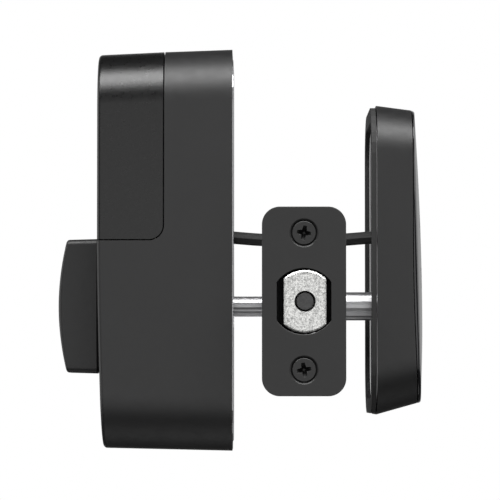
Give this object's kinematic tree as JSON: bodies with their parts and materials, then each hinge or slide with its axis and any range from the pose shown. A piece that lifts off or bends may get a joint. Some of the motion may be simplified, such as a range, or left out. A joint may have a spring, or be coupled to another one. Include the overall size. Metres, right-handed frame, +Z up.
{
  "type": "keypad smart lock",
  "caption": "Motorised deadbolt lock with a domed touch keypad outside, a battery and motor unit with a thumbturn inside, and a latch with a square-cornered bolt between.",
  "frame": {"origin": "centre of the door's cross bore, on the spindle's axis at the middle of the door's thickness", "axes": "+Z up, -Y out of the keypad side, +Y out of the thumbturn side, -X out of the door's edge, the way the bolt is thrown"},
  "size_m": [0.0963, 0.1154, 0.1258],
  "materials": {
    "soft_black_plastic": "fine satin texture",
    "battery_cover_plastic": "fine spark-eroded texture",
    "satin_black_metal": "satin black coating",
    "plain_steel": "zinc plated",
    "cast_metal": "plated casting with a granular surface",
    "inner_plastic": "moulded",
    "gear_plastic": "natural acetal",
    "battery_sleeve": "printed film with no text",
    "contact_metal": "nickel plated",
    "circuit_board": "solder mask",
    "shield_metal": "tin plated",
    "connector_plastic": "moulded nylon",
    "button_plastic": "moulded",
    "brass": "machined",
    "hardened_steel": "blackened",
    "touch_glass": "polished, dark",
    "light_guide": "frosted",
    "rubber": "moulded"
  },
  "bodies": {
    "lock_body": {"interior_housing": "soft_black_plastic", "mounting_plate": "plain_steel", "chassis": "inner_plastic", "battery_holder": "inner_plastic", "battery_1": "battery_sleeve", "battery_2": "battery_sleeve", "battery_3": "battery_sleeve", "battery_4": "battery_sleeve", "battery_spring_1": "contact_metal", "battery_spring_2": "contact_metal", "battery_spring_3": "contact_metal", "battery_spring_4": "contact_metal", "contact_strip_left": "contact_metal", "contact_strip_right": "contact_metal", "control_board": "circuit_board", "radio_module": "shield_metal", "main_connector": "connector_plastic", "reset_switch": "inner_plastic", "housing_screw_left": "plain_steel", "housing_screw_right": "plain_steel", "idler_axle": "plain_steel", "motor": "plain_steel", "gearbox_cover": "inner_plastic", "front_bushing": "gear_plastic", "faceplate": "satin_black_metal", "faceplate_screw_upper": "satin_black_metal", "faceplate_screw_lower": "satin_black_metal", "latch_back_plate": "satin_black_metal", "latch_sleeve": "satin_black_metal", "latch_case": "plain_steel", "mounting_post_left": "plain_steel", "mounting_post_right": "plain_steel", "through_bolt_left": "plain_steel", "through_bolt_right": "plain_steel", "exterior_housing": "soft_black_plastic", "touch_glass": "touch_glass", "light_guide": "light_guide", "touch_board": "circuit_board", "piezo_buzzer": "inner_plastic", "keypad_connector": "connector_plastic", "exterior_back_plate": "plain_steel", "backup_contact_left": "contact_metal", "backup_contact_right": "contact_metal", "weather_gasket": "rubber", "wiring_harness": "rubber"},
    "spindle": {"thumbturn": "soft_black_plastic", "thumbturn_shaft": "plain_steel", "retaining_ring": "plain_steel", "output_gear": "gear_plastic", "torque_blade": "plain_steel", "bolt_cam": "cast_metal"},
    "bolt": {"deadbolt": "cast_metal", "bolt_tail": "plain_steel", "tail_rivet": "plain_steel"},
    "bolt_roller": {"bolt_pin": "hardened_steel"},
    "idler": {"idler_gear": "gear_plastic"},
    "motor_drive": {"motor_shaft": "plain_steel", "motor_pinion": "brass"},
    "cover": {"battery_cover": "battery_cover_plastic"},
    "button": {"reset_button": "button_plastic"}
  },
  "joints": [
    {"name": "thumbturn_turn", "type": "hinge", "parent": "lock_body", "child": "spindle", "pos_m": [0, 0, 0], "axis": [0, 1, 0], "range_deg": [0, 90]},
    {"name": "bolt_throw", "type": "slide", "parent": "lock_body", "child": "bolt", "axis": [-1, 0, 0], "range_m": [0, 0.02545]},
    {"name": "bolt_roller_spin", "type": "hinge", "parent": "bolt", "child": "bolt_roller", "pos_m": [-0.055, -0.0003, 0], "axis": [1, 0, 0], "continuous": true},
    {"name": "idler_turn", "type": "hinge", "parent": "lock_body", "child": "idler", "pos_m": [0, 0.034, -0.024], "axis": [0, 1, 0], "range_deg": [-271, 0]},
    {"name": "motor_turn", "type": "hinge", "parent": "lock_body", "child": "motor_drive", "pos_m": [0.01785, 0.036, -0.0305], "axis": [0, 1, 0], "range_deg": [0, 757]},
    {"name": "battery_cover_slide", "type": "slide", "parent": "lock_body", "child": "cover", "axis": [0, 0, 1], "range_m": [0, 0.06]},
    {"name": "reset_button_press", "type": "slide", "parent": "lock_body", "child": "button", "axis": [0, -1, 0], "range_m": [0, 0.0005], "stiffness_N_per_m": 400}
  ],
  "couplings": [
    {"joint": "bolt_throw", "follows": "thumbturn_turn", "m_per_rad": 0.01617},
    {"joint": "idler_turn", "follows": "thumbturn_turn", "ratio": -3},
    {"joint": "motor_turn", "follows": "thumbturn_turn", "ratio": 8.4}
  ]
}
